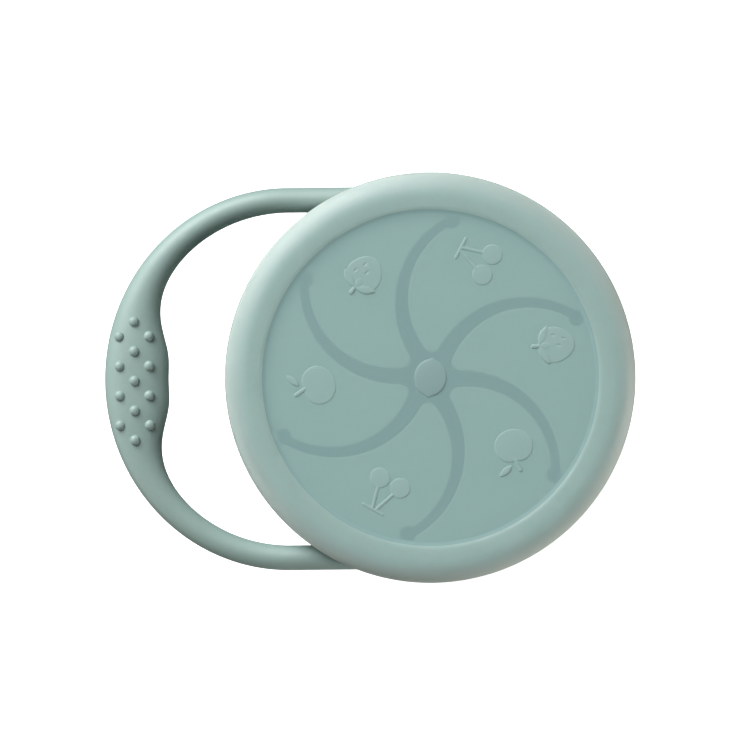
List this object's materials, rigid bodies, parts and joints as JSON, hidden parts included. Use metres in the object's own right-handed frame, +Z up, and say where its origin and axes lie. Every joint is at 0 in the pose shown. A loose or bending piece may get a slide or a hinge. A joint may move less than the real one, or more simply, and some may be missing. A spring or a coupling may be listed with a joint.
{
  "type": "toddler snack container",
  "caption": "Soft silicone snack cup with a carrying loop, a spill lid of curved fold-in flaps and a lift-off dust cover.",
  "frame": {"origin": "centre of the flat base, on the surface the cup stands on", "axes": "+X away from the carrying loop, which lies on the -X side; +Z up through the lid"},
  "size_m": [0.1294, 0.1, 0.0678],
  "materials": {
    "cup_silicone": "matte",
    "handle_silicone": "matte",
    "lid_silicone": "matte",
    "flap_silicone": "matte",
    "cover_silicone": "satin"
  },
  "bodies": {
    "cup": {"cup_body": "cup_silicone", "handle": "handle_silicone"},
    "flap_lid": {"flap_ring": "lid_silicone"},
    "flap_1": {"petal_1": "flap_silicone"},
    "flap_2": {"petal_2": "flap_silicone"},
    "flap_3": {"petal_3": "flap_silicone"},
    "flap_4": {"petal_4": "flap_silicone"},
    "flap_5": {"petal_5": "flap_silicone"},
    "flap_6": {"petal_6": "flap_silicone"},
    "cover": {"dust_cover": "cover_silicone"}
  },
  "joints": [
    {"name": "flap_lid_lift", "type": "slide", "parent": "cup", "child": "flap_lid", "axis": [0, 0, 1], "range_m": [0, 0.04]},
    {"name": "flap_1_fold", "type": "hinge", "parent": "flap_lid", "child": "flap_1", "pos_m": [0.02121, 0.02657, 0.064], "axis": [0.7815, -0.6239, 0], "range_deg": [0, 65], "stiffness_Nm_per_rad": 0.016},
    {"name": "flap_2_fold", "type": "hinge", "parent": "flap_lid", "child": "flap_2", "pos_m": [-0.01241, 0.03166, 0.064], "axis": [0.9311, 0.3649, 0], "range_deg": [0, 65], "stiffness_Nm_per_rad": 0.016},
    {"name": "flap_3_fold", "type": "hinge", "parent": "flap_lid", "child": "flap_3", "pos_m": [-0.03362, 0.00508, 0.064], "axis": [0.1495, 0.9888, 0], "range_deg": [0, 65], "stiffness_Nm_per_rad": 0.016},
    {"name": "flap_4_fold", "type": "hinge", "parent": "flap_lid", "child": "flap_4", "pos_m": [-0.02121, -0.02657, 0.064], "axis": [-0.7815, 0.6239, 0], "range_deg": [0, 65], "stiffness_Nm_per_rad": 0.016},
    {"name": "flap_5_fold", "type": "hinge", "parent": "flap_lid", "child": "flap_5", "pos_m": [0.01241, -0.03166, 0.064], "axis": [-0.9311, -0.3649, 0], "range_deg": [0, 65], "stiffness_Nm_per_rad": 0.016},
    {"name": "flap_6_fold", "type": "hinge", "parent": "flap_lid", "child": "flap_6", "pos_m": [0.03362, -0.00508, 0.064], "axis": [-0.1495, -0.9888, 0], "range_deg": [0, 65], "stiffness_Nm_per_rad": 0.016},
    {"name": "cover_lift", "type": "slide", "parent": "flap_lid", "child": "cover", "axis": [0, 0, 1], "range_m": [0, 0.03]}
  ]
}
